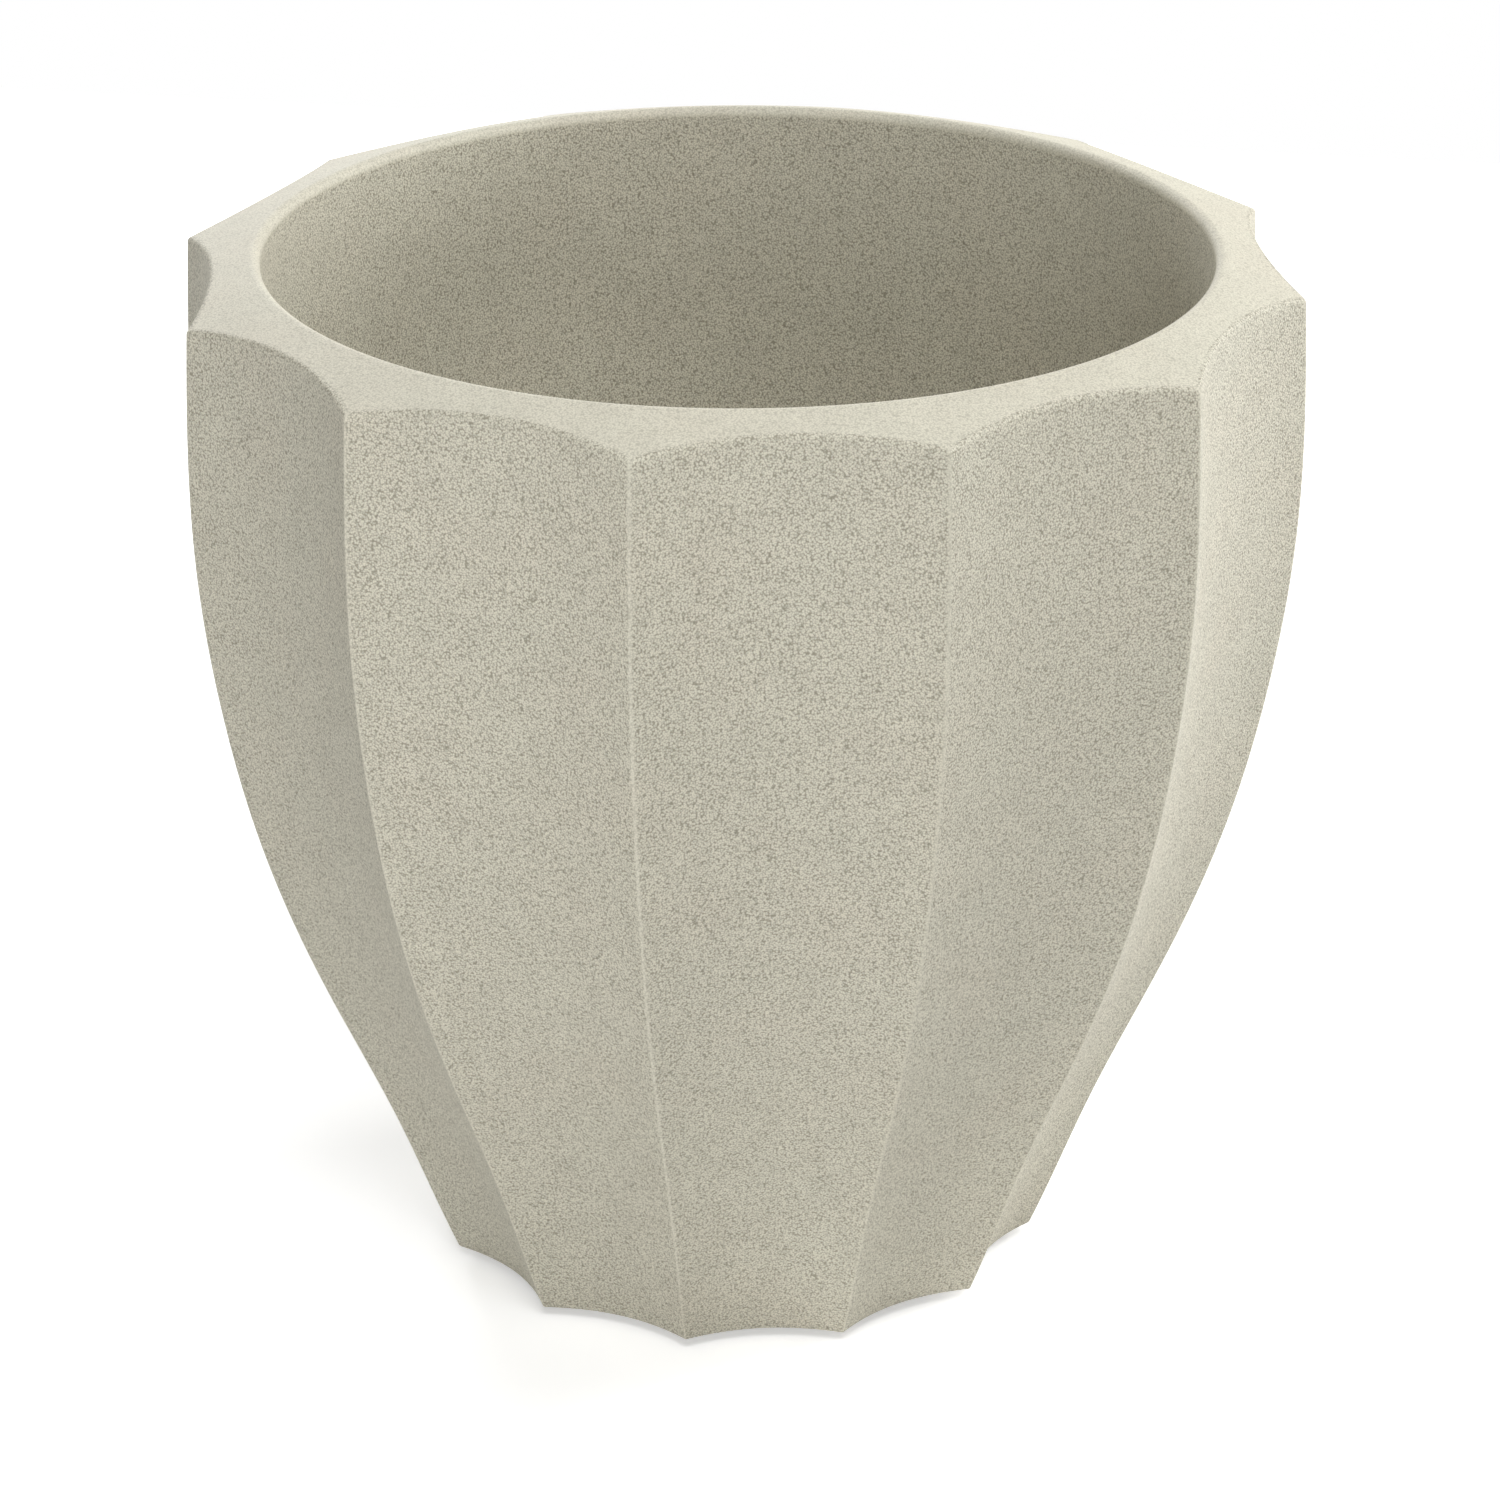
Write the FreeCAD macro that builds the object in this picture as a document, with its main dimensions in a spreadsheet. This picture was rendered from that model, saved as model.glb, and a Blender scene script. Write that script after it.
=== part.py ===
import FreeCAD
import Part
import Sketcher
import math
import os

# Fluted floor planter: a cast shell with its drain fittings and foot pads.
# Millimetres, +Z up, origin on the floor under the middle of the pot, a ridge on each axis.

SIZES = {
    # Shell outline; the radii are those of the ridges, and the crest is the top of the rim.
    "shell_height": 381,
    "rim_radius": 201.2,
    "foot_radius": 111.2,
    "belly_bulge": 1.8,
    # Flutes: depths are taken from the ridge circle to the middle of the flute.
    "flute_count": 12,
    "rim_flute_depth": 14.8,
    "foot_flute_depth": 9.6,
    "ridge_round": 2.5,
    # Rim and inside of the pot; its walls are taken from the bottoms of the flutes inwards.
    "rim_wall": 17.4,
    "floor_wall": 26.6,
    "lip_radius": 5,
    "rim_fall_angle": 16,
    "rim_edge_round": 1.8,
    "mouth_depth": 60,
    "cavity_corner_radius": 25,
    "floor_thickness": 26,
    # Drain sleeve, bonded into the floor.
    "sleeve_bore_radius": 16,
    "sleeve_wall": 3,
    "sleeve_flange_width": 6,
    "sleeve_flange_thickness": 3,
    # Drain plug, pushed into the sleeve from below.
    "plug_stem_length": 16,
    "plug_tip_taper": 1,
    "plug_flange_width": 8,
    "plug_flange_thickness": 2.5,
    "plug_flange_edge": 0.8,
    # Drain screen, flush with the inside floor on a foot ring of its own.
    "screen_radius": 36,
    "screen_thickness": 2,
    "screen_foot_height": 1,
    "screen_foot_width": 3,
    "screen_hole_radius": 1.5,
    "screen_first_ring_radius": 9,
    "screen_ring_pitch": 6.5,
    "knob_radius": 4,
    "knob_height": 8,
    # Foot pads, bonded into recesses under the foot.
    "pad_count": 4,
    "pad_radius": 15,
    "pad_thickness": 7,
    "pad_edge": 1.2,
    "pad_recess_depth": 3,
    "pad_inset": 10.6,
    # Fits and cuts.
    "bond_gap": 0.1,
    "plug_clearance": 0.05,
    "screen_clearance": 0.4,
    "overrun": 2,
}

# Heights up the shell and how far the ridge has swelled from the foot to the belly there.
HEIGHT_SHARES = (0, 0.15, 0.3, 0.45, 0.6, 0.75, 0.86)
SWELL_SHARES = (0, 0.246, 0.524, 0.757, 0.906, 0.987, 1)

# The rim's scalloped edge is rounded by at most this much of the ridges' rounding.
RIM_ROUND_SHARE = 0.9

# The screen's holes per ring grow by this many from one ring to the next.
HOLES_PER_RING = 6
FIRST_PAD_ANGLE = 45

UPRIGHT = FreeCAD.Vector(0, 0, 1)

doc = FreeCAD.newDocument("flower_pot")
sheet = doc.addObject("Spreadsheet::Sheet", "sizes")
for row, (alias, number) in enumerate(SIZES.items(), start=1):
    sheet.set(f"A{row}", alias)
    sheet.set(f"B{row}", str(number))
    sheet.setAlias(f"B{row}", alias)
doc.recompute()


def size(text):
    """Expression text over the sheet, from text that names its aliases in braces."""
    return text.format(**{alias: f"sizes.{alias}" for alias in SIZES})


def value(text):
    """Number that an expression over the sheet stands for."""
    return float(sheet.evalExpression(text))


# The shell widens a little from the rim to the belly, and its inside follows the rim and the foot.
BELLY_RADIUS = size("({rim_radius} + {belly_bulge})")
FOOT_VALLEY_RADIUS = size("({foot_radius} - {foot_flute_depth})")
MOUTH_RADIUS = size("({rim_radius} - {rim_flute_depth} - {rim_wall})")
CAVITY_FLOOR_RADIUS = size(f"({FOOT_VALLEY_RADIUS} - {{floor_wall}})")
PAD_PITCH_RADIUS = size(f"({FOOT_VALLEY_RADIUS} - {{pad_inset}} - {{pad_radius}})")

# Heights in the shell's own frame that more than one piece shares.
PAD_LIFT = size("({pad_thickness} - {pad_recess_depth})")
SCREEN_SEAT = size("({floor_thickness} - {screen_thickness} - {screen_foot_height})")
FLANGE_SEAT = size(f"({SCREEN_SEAT} - {{sleeve_flange_thickness}})")
SLEEVE_RADIUS = size("({sleeve_bore_radius} + {sleeve_wall})")
SLEEVE_FLANGE_RADIUS = size(f"({SLEEVE_RADIUS} + {{sleeve_flange_width}})")
SCREEN_FOOT_RADIUS = size("({screen_radius} - {screen_foot_width})")


def new_body(label, lift=None):
    """Empty body, lifted to its height in the assembly."""
    body = doc.addObject("PartDesign::Body", label)
    body.Label = label
    if lift:
        body.setExpression("Placement.Base.z", lift)
    return body


def origin_feature(body, role):
    """Plane or axis of the body's own origin."""
    return next(item for item in body.Origin.OriginFeatures if item.Role == role)


def new_sketch(body, name, plane, lift=None):
    """Empty sketch on one of the body's planes or lifted off it."""
    sketch = body.newObject("Sketcher::SketchObject", name)
    sketch.AttachmentSupport = (origin_feature(body, plane), "")
    sketch.MapMode = "FlatFace"
    if lift:
        sketch.setExpression("AttachmentOffset.Base.z", lift)
    return sketch


def drive(sketch, kind, where, text):
    """Dimension of a sketch, bound to an expression over the sheet."""
    number = math.radians(value(text)) if kind == "Angle" else value(text)
    index = sketch.addConstraint(Sketcher.Constraint(kind, *where, number))
    sketch.setExpression(f"Constraints[{index}]", text)


def place(sketch, point, across, up):
    """Fix a sketch point at two expressions, on an axis where one of them is None."""
    if across:
        drive(sketch, "DistanceX", (-1, 1, *point), across)
    else:
        sketch.addConstraint(Sketcher.Constraint("PointOnObject", *point, -2))
    if up:
        drive(sketch, "DistanceY", (-1, 1, *point), up)
    else:
        sketch.addConstraint(Sketcher.Constraint("PointOnObject", *point, -1))


def at(across, up):
    """Sketch point for two expressions, None meaning on the axis."""
    return FreeCAD.Vector(value(across) if across else 0, value(up) if up else 0, 0)


def outline(sketch, corners):
    """Closed straight-sided outline through corners given as pairs of expressions."""
    points = [at(*corner) for corner in corners]
    for start, end in zip(points, points[1:] + points[:1]):
        sketch.addGeometry(Part.LineSegment(start, end), False)
    for index, corner in enumerate(corners):
        following = (index + 1) % len(corners)
        sketch.addConstraint(Sketcher.Constraint("Coincident", index, 2, following, 1))
        place(sketch, (index, 1), *corner)


def circle(sketch, radius, across=None, up=None):
    """Circle of a bound radius about a bound centre."""
    index = sketch.addGeometry(Part.Circle(at(across, up), UPRIGHT, value(radius)), False)
    drive(sketch, "Radius", (index,), radius)
    if across or up:
        place(sketch, (index, 3), across, up)
    else:
        sketch.addConstraint(Sketcher.Constraint("Coincident", index, 3, -1, 1))


def turned(body, kind, sketch, name):
    """Full turn of a sketch about the upright axis: a Revolution or a Groove."""
    feature = body.newObject(f"PartDesign::{kind}", name)
    feature.Profile = sketch
    feature.ReferenceAxis = (sketch, ["V_Axis"])
    feature.Angle = 360
    return feature


def patterned(body, feature, count, name):
    """Copies of a feature spaced evenly about the upright axis."""
    pattern = body.newObject("PartDesign::PolarPattern", name)
    pattern.Originals = [feature]
    pattern.Axis = (origin_feature(body, "Z_Axis"), [""])
    pattern.Angle = 360
    pattern.setExpression("Occurrences", count)
    body.Tip = pattern
    return pattern


def turned_body(label, corners, lift=PAD_LIFT):
    """Body turned from a straight-sided outline."""
    body = new_body(label, lift)
    sketch = new_sketch(body, f"{label}_outline", "XZ_Plane")
    outline(sketch, corners)
    turned(body, "Revolution", sketch, f"{label}_turned")
    return body


def shell_sections():
    """Height, ridge radius and flute depth, as expressions, of each section from foot to crest."""
    swell = size(f"({BELLY_RADIUS} - {{foot_radius}})")
    deepening = size("({rim_flute_depth} - {foot_flute_depth})")
    sections = []
    for height_share, swell_share in zip(HEIGHT_SHARES, SWELL_SHARES):
        height = size(f"{{shell_height}} * {height_share}")
        radius = size(f"{{foot_radius}} + {swell} * {swell_share}")
        depth = size(f"{{foot_flute_depth}} + {deepening} * {swell_share}")
        sections.append((height, radius, depth))
    sections.append((size("{shell_height} + {overrun}"), size("{rim_radius}"), size("{rim_flute_depth}")))
    return sections


def arc_between(centre, radius, start, end):
    """Arc about a centre, anticlockwise from one point to another."""
    round_edge = Part.Circle(centre, UPRIGHT, radius)
    return Part.ArcOfCircle(round_edge, round_edge.parameter(start), round_edge.parameter(end))


def shell_section(body, name, height, radius, depth):
    """Section across the shell: concave flutes between small rounded ridges, all arcs tangent."""
    ridge_reach = size(f"(({radius}) - {{ridge_round}})")
    valley_reach = size(f"(({radius}) - ({depth}) - {{ridge_round}})")
    # A flute's arc touches the arcs of both its ridges, which sets how far out its centre lies.
    leftover = size(f"({ridge_reach} * cos(180 / {{flute_count}}) - {valley_reach})")
    flute_reach = f"(({ridge_reach}^2 - {valley_reach}^2) / (2 * {leftover}))"
    flute_radius = size(f"({flute_reach} - {valley_reach} - {{ridge_round}})")
    ridge_round = value(size("{ridge_round}"))
    count = SIZES["flute_count"]
    pitch = 2 * math.pi / count

    def around(turns, reach):
        return FreeCAD.Vector(math.cos(turns * pitch), math.sin(turns * pitch), 0) * value(reach)

    def touch(ridge, flute):
        return ridge + (flute - ridge).normalize() * ridge_round

    sketch = new_sketch(body, name, "XY_Plane", height)
    for index in range(count):
        ridge = around(index, ridge_reach)
        following = around(index + 1, ridge_reach)
        flute = around(index + 0.5, flute_reach)
        before = around(index - 0.5, flute_reach)
        sketch.addGeometry(arc_between(ridge, ridge_round, touch(ridge, before), touch(ridge, flute)), False)
        far, near = touch(following, flute), touch(ridge, flute)
        sketch.addGeometry(arc_between(flute, value(flute_radius), far, near), False)
    origin = FreeCAD.Vector()
    guide = sketch.addGeometry(Part.Circle(origin, UPRIGHT, value(ridge_reach)), True)
    spoke_lines = [Part.LineSegment(origin, around(index, ridge_reach)) for index in range(count)]
    spokes = sketch.addGeometry(spoke_lines, True)
    rules = [Sketcher.Constraint("Coincident", guide, 3, -1, 1)]
    rules.append(Sketcher.Constraint("PointOnObject", spokes[0], 2, -1))
    for index, spoke in enumerate(spokes):
        ridge_arc, flute_arc = 2 * index, 2 * index + 1
        following = (ridge_arc + 2) % (2 * count)
        rules.append(Sketcher.Constraint("Coincident", spoke, 1, -1, 1))
        rules.append(Sketcher.Constraint("PointOnObject", spoke, 2, guide))
        rules.append(Sketcher.Constraint("Coincident", ridge_arc, 3, spoke, 2))
        rules.append(Sketcher.Constraint("Tangent", ridge_arc, 2, flute_arc, 2))
        rules.append(Sketcher.Constraint("Tangent", flute_arc, 1, following, 1))
        if index:
            rules.append(Sketcher.Constraint("Angle", spokes[index - 1], 1, spoke, 1, pitch))
            rules.append(Sketcher.Constraint("Equal", 0, ridge_arc))
            rules.append(Sketcher.Constraint("Equal", 1, flute_arc))
    sketch.addConstraint(rules)
    drive(sketch, "Radius", (guide,), ridge_reach)
    drive(sketch, "Radius", (0,), size("{ridge_round}"))
    drive(sketch, "Radius", (1,), flute_radius)
    return sketch


def fluted_body(body):
    """Outside of the shell, through its sections from the foot to above the crest."""
    sections = []
    for index, section in enumerate(shell_sections()):
        sections.append(shell_section(body, f"shell_section_{index}", *section))
    loft = body.newObject("PartDesign::AdditiveLoft", "fluted_body")
    loft.Profile = sections[0]
    loft.Sections = sections[1:]


def rim_rounding(body, base):
    """Soften the scalloped edge of the rim, a little less than the ridges so that it turns their corners."""
    doc.recompute()
    rim = next(face for face in base.Shape.Faces if isinstance(face.Surface, Part.Cone))
    scallops = [edge for edge in rim.Edges if isinstance(edge.Curve, Part.BSplineCurve)]
    names = []
    for number, edge in enumerate(base.Shape.Edges, 1):
        if any(edge.isSame(scallop) for scallop in scallops):
            names.append(f"Edge{number}")
    fillet = body.newObject("PartDesign::Fillet", "rim_rounding")
    fillet.Base = (base, names)
    fillet.setExpression("Radius", size(f"min({{rim_edge_round}}; {{ridge_round}} * {RIM_ROUND_SHARE})"))


def cavity(body):
    """Inside of the pot with its rounded lip, and the rim's top face falling outwards from it."""
    floor = value(size("{floor_thickness}"))
    flat = value(CAVITY_FLOOR_RADIUS)
    corner = value(size("{cavity_corner_radius}"))
    mouth = value(MOUTH_RADIUS)
    lip = value(size("{lip_radius}"))
    fall = math.radians(value(size("{rim_fall_angle}")))
    straight_up = size("{shell_height} - {mouth_depth}")
    lip_up = size("{shell_height} - {lip_radius}")
    outside = size(f"{BELLY_RADIUS} + {{overrun}}")
    above = size("{shell_height} + 2 * {overrun}")
    straight = value(straight_up)
    # The wall's long arc leaves the straight mouth upright and runs smoothly into the corner's arc.
    rise = straight - floor - corner
    run = mouth - flat
    sweep = (run**2 + rise**2 - corner**2) / (2 * (run - corner))
    lean = math.atan2(rise, sweep - run)
    corner_circle = Part.Circle(FreeCAD.Vector(flat, floor + corner, 0), UPRIGHT, corner)
    wall_circle = Part.Circle(FreeCAD.Vector(mouth - sweep, straight, 0), UPRIGHT, sweep)
    lip_circle = Part.Circle(FreeCAD.Vector(mouth + lip, value(lip_up), 0), UPRIGHT, lip)
    corner_arc = Part.ArcOfCircle(corner_circle, -math.pi / 2, -lean)
    wall_arc = Part.ArcOfCircle(wall_circle, -lean, 0)
    lip_arc = Part.ArcOfCircle(lip_circle, math.pi / 2 - fall, math.pi)
    crest = lip_arc.StartPoint
    drop = (value(outside) - crest.x) * math.tan(fall)
    edge = FreeCAD.Vector(value(outside), crest.y - drop, 0)
    sky = FreeCAD.Vector(value(outside), value(above), 0)
    axis_top = FreeCAD.Vector(0, value(above), 0)
    axis_bottom = FreeCAD.Vector(0, floor, 0)
    sketch = new_sketch(body, "cavity_outline", "XZ_Plane")
    bottom, bend, wall, straight_wall, lip_bend, fall_line, side, top, axis = sketch.addGeometry(
        [
            Part.LineSegment(axis_bottom, corner_arc.StartPoint),
            corner_arc,
            wall_arc,
            Part.LineSegment(wall_arc.EndPoint, lip_arc.EndPoint),
            lip_arc,
            Part.LineSegment(crest, edge),
            Part.LineSegment(edge, sky),
            Part.LineSegment(sky, axis_top),
            Part.LineSegment(axis_top, axis_bottom),
        ],
        False,
    )
    for smooth in (
        (bottom, 2, bend, 1),
        (bend, 2, wall, 1),
        (wall, 2, straight_wall, 1),
        (straight_wall, 2, lip_bend, 2),
        (lip_bend, 1, fall_line, 1),
    ):
        sketch.addConstraint(Sketcher.Constraint("Tangent", *smooth))
    for joined in ((fall_line, 2, side, 1), (side, 2, top, 1), (top, 2, axis, 1), (axis, 2, bottom, 1)):
        sketch.addConstraint(Sketcher.Constraint("Coincident", *joined))
    sketch.addConstraint(Sketcher.Constraint("Horizontal", bottom))
    sketch.addConstraint(Sketcher.Constraint("Vertical", straight_wall))
    sketch.addConstraint(Sketcher.Constraint("Vertical", side))
    sketch.addConstraint(Sketcher.Constraint("Horizontal", top))
    place(sketch, (axis, 1), None, above)
    place(sketch, (axis, 2), None, size("{floor_thickness}"))
    drive(sketch, "DistanceX", (-1, 1, bottom, 2), CAVITY_FLOOR_RADIUS)
    drive(sketch, "Radius", (bend,), size("{cavity_corner_radius}"))
    place(sketch, (straight_wall, 1), MOUTH_RADIUS, straight_up)
    drive(sketch, "Radius", (lip_bend,), size("{lip_radius}"))
    drive(sketch, "DistanceY", (-1, 1, lip_bend, 3), lip_up)
    drive(sketch, "Angle", (fall_line,), size("-{rim_fall_angle}"))
    drive(sketch, "DistanceX", (-1, 1, side, 2), outside)
    return turned(body, "Groove", sketch, "cavity")


def drain_opening(body):
    """Stepped hole through the floor: the sleeve's bore, its flange's seat and the screen's recess."""
    bore = size(f"{SLEEVE_RADIUS} + {{bond_gap}}")
    flange = size(f"{SLEEVE_FLANGE_RADIUS} + {{bond_gap}}")
    recess = size("{screen_radius} + {screen_clearance}")
    below = size("-{overrun}")
    above = size("{floor_thickness} + {overrun}")
    sketch = new_sketch(body, "drain_outline", "XZ_Plane")
    outline(
        sketch,
        [
            (None, below),
            (bore, below),
            (bore, FLANGE_SEAT),
            (flange, FLANGE_SEAT),
            (flange, SCREEN_SEAT),
            (recess, SCREEN_SEAT),
            (recess, above),
            (None, above),
        ],
    )
    turned(body, "Groove", sketch, "drain_opening")


def pad_place():
    """Where the first pad stands, as a pair of expressions."""
    return tuple(f"{PAD_PITCH_RADIUS} * {way}({FIRST_PAD_ANGLE})" for way in ("cos", "sin"))


def pad_recesses(body):
    """Shallow round recesses under the foot that the pads are bonded into."""
    sketch = new_sketch(body, "pad_recess_outline", "XY_Plane")
    circle(sketch, size("{pad_radius} + {bond_gap}"), *pad_place())
    recess = body.newObject("PartDesign::Pocket", "pad_recess")
    recess.Profile = sketch
    recess.Reversed = True
    recess.setExpression("Length", size("{pad_recess_depth}"))
    patterned(body, recess, size("{pad_count}"), "pad_recesses")


def pot_shell():
    """Cast body of the pot: outside, inside and rim, drain opening, pad recesses."""
    body = new_body("pot_shell", PAD_LIFT)
    fluted_body(body)
    rim_rounding(body, cavity(body))
    drain_opening(body)
    pad_recesses(body)
    return body


def drain_sleeve():
    """Tube through the floor whose flange sits under the screen."""
    bore = size("{sleeve_bore_radius}")
    return turned_body(
        "drain_sleeve",
        [
            (bore, None),
            (SLEEVE_RADIUS, None),
            (SLEEVE_RADIUS, FLANGE_SEAT),
            (SLEEVE_FLANGE_RADIUS, FLANGE_SEAT),
            (SLEEVE_FLANGE_RADIUS, SCREEN_SEAT),
            (bore, SCREEN_SEAT),
        ],
    )


def drain_plug():
    """Tapered bung in the sleeve, with a flange against the underside of the floor."""
    stem = size("{sleeve_bore_radius} - {plug_clearance}")
    tip = size(f"{stem} - {{plug_tip_taper}}")
    flange = size(f"{SLEEVE_RADIUS} + {{plug_flange_width}}")
    underside = size("-{plug_flange_thickness}")
    return turned_body(
        "drain_plug",
        [
            (None, underside),
            (size(f"{flange} - {{plug_flange_edge}}"), underside),
            (flange, size(f"{underside} + {{plug_flange_edge}}")),
            (flange, None),
            (stem, None),
            (tip, size("{plug_stem_length}")),
            (None, size("{plug_stem_length}")),
        ],
    )


def drain_screen():
    """Perforated disc over the drain, on a foot ring, with a knob to lift it by."""
    floor = size("{floor_thickness}")
    underside = size(f"{SCREEN_SEAT} + {{screen_foot_height}}")
    knob_top = size("{floor_thickness} + {knob_height}")
    body = turned_body(
        "drain_screen",
        [
            (None, underside),
            (SCREEN_FOOT_RADIUS, underside),
            (SCREEN_FOOT_RADIUS, SCREEN_SEAT),
            (size("{screen_radius}"), SCREEN_SEAT),
            (size("{screen_radius}"), floor),
            (size("{knob_radius}"), floor),
            (size("{knob_radius}"), knob_top),
            (None, knob_top),
        ],
    )
    room = value(size(f"{SCREEN_FOOT_RADIUS} - {{screen_hole_radius}} * 2 - {{screen_first_ring_radius}}"))
    ring_count = 1 + int(room // value(size("{screen_ring_pitch}")))
    for ring in range(ring_count):
        ring_radius = size(f"{{screen_first_ring_radius}} + {{screen_ring_pitch}} * {ring}")
        sketch = new_sketch(body, f"screen_hole_outline_{ring}", "XY_Plane", floor)
        circle(sketch, size("{screen_hole_radius}"), ring_radius)
        hole = body.newObject("PartDesign::Pocket", f"screen_hole_{ring}")
        hole.Profile = sketch
        hole.setExpression("Length", size("{screen_thickness} + {screen_foot_height}"))
        patterned(body, hole, str(HOLES_PER_RING * (ring + 1)), f"screen_holes_{ring}")
    return body


def foot_pad(number):
    """Pad under the foot, a quarter turn on from the pad before it."""
    body = turned_body(
        f"foot_pad_{number}",
        [
            (None, None),
            (size("{pad_radius} - {pad_edge}"), None),
            (size("{pad_radius}"), size("{pad_edge}")),
            (size("{pad_radius}"), size("{pad_thickness}")),
            (None, size("{pad_thickness}")),
        ],
        None,
    )
    angle = f"({FIRST_PAD_ANGLE} + 360 * {number - 1} / {size('{pad_count}')})"
    body.setExpression("Placement.Base.x", f"{PAD_PITCH_RADIUS} * cos({angle})")
    body.setExpression("Placement.Base.y", f"{PAD_PITCH_RADIUS} * sin({angle})")
    return body


bodies = [pot_shell(), drain_sleeve(), drain_plug(), drain_screen()]
bodies += [foot_pad(number) for number in range(1, SIZES["pad_count"] + 1)]
doc.recompute()

for item in doc.Objects:
    if "Invalid" in item.State or "Error" in item.State:
        raise RuntimeError(f"{item.Label} failed: {item.State}")
for body in bodies:
    shape = body.Shape
    if shape.isNull() or not shape.isValid() or len(shape.Solids) != 1:
        raise RuntimeError(f"{body.Label} is not one valid solid")

os.makedirs("parts", exist_ok=True)
for body in bodies:
    body.Shape.exportStep(f"parts/{body.Label}.step")
    box = body.Shape.BoundBox
    spans = f"{box.XLength:.1f} x {box.YLength:.1f} x {box.ZLength:.1f}"
    print(f"{body.Label}: volume {body.Shape.Volume:.0f}, within {spans}")
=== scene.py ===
"""Looks of the fluted cast-stone floor planter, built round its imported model."""

import logging
import math
from dataclasses import dataclass
from enum import Enum

import bpy
import numpy as np
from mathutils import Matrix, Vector


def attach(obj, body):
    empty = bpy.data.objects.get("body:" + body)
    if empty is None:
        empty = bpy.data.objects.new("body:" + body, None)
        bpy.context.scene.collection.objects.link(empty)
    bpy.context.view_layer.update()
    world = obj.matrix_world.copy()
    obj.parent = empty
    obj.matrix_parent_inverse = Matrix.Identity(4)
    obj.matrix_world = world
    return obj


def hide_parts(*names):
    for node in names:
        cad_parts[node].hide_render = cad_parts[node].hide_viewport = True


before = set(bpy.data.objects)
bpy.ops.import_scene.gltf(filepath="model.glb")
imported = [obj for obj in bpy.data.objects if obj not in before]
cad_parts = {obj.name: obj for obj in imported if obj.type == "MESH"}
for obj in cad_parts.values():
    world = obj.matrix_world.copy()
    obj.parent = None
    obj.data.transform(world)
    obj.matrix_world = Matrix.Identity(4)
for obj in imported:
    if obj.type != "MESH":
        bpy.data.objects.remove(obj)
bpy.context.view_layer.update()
LOG = logging.getLogger("planter")

# Number of one thing per metre when each takes one millimetre.
PER_METRE = 1000.0
# Attributes of the shell's outline: the flute's own points, and how smooth the stone is; the smooth
# ridge crests also carry a painted pale highlight line.
FLUTE_OUTLINE = "flute_outline"
SMOOTHNESS_AND_HIGHLIGHT = "smoothness"
# Inputs and output of a Mix node by what it mixes, because their names are all alike.
NUMBER_A, NUMBER_B, NUMBER = 2, 3, 0
VECTOR_A, VECTOR_B, VECTOR = 4, 5, 1
COLOUR_A, COLOUR_B, COLOUR = 6, 7, 2


def linear(hex_code: str) -> tuple[float, float, float, float]:
    """Turn an sRGB colour into linear light.

    Args:
        hex_code: Colour as "#RRGGBB".

    Returns:
        Red, green, blue and an alpha of one.
    """
    shares = [int(hex_code[place:place + 2], 16) / 255 for place in (1, 3, 5)]
    light = [s / 12.92 if s <= 0.04045 else ((s + 0.055) / 1.055) ** 2.4 for s in shares]
    return (*light, 1.0)


WHITE = linear("#FFFFFF")


def add(
    tree: bpy.types.NodeTree, kind: str, feeds: dict | None = None, **settings
) -> bpy.types.Node:
    """Add one node with its settings, and link or set its inputs.

    Args:
        tree: Tree that takes the node.
        kind: Blender's name for the type of node.
        feeds: Socket by name or number, to the output that feeds it or the value that it takes.
        settings: Properties of the node.

    Returns:
        The new node.
    """
    node = tree.nodes.new(kind)
    for name, setting in settings.items():
        setattr(node, name, setting)
    for socket, feed in (feeds or {}).items():
        if isinstance(feed, bpy.types.NodeSocket):
            tree.links.new(feed, node.inputs[socket])
        else:
            node.inputs[socket].default_value = feed
    return node


def blank_material(name: str) -> tuple[bpy.types.Material, bpy.types.NodeTree]:
    """Make a material whose tree is empty.

    Args:
        name: Name of the material.

    Returns:
        The material and its tree.
    """
    material = bpy.data.materials.new(name)
    material.use_nodes = True
    material.node_tree.nodes.clear()
    return material, material.node_tree


class Finish(Enum):
    """How smooth the cast stone is: open and sandy, or closed by the cement."""

    SANDY = 0.0
    SMOOTH = 1.0


class ArcSide(Enum):
    """Side of an arc that a bearing meets, as the step from its chord's middle."""

    NEAR = "SUBTRACT"
    FAR = "ADD"


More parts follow.
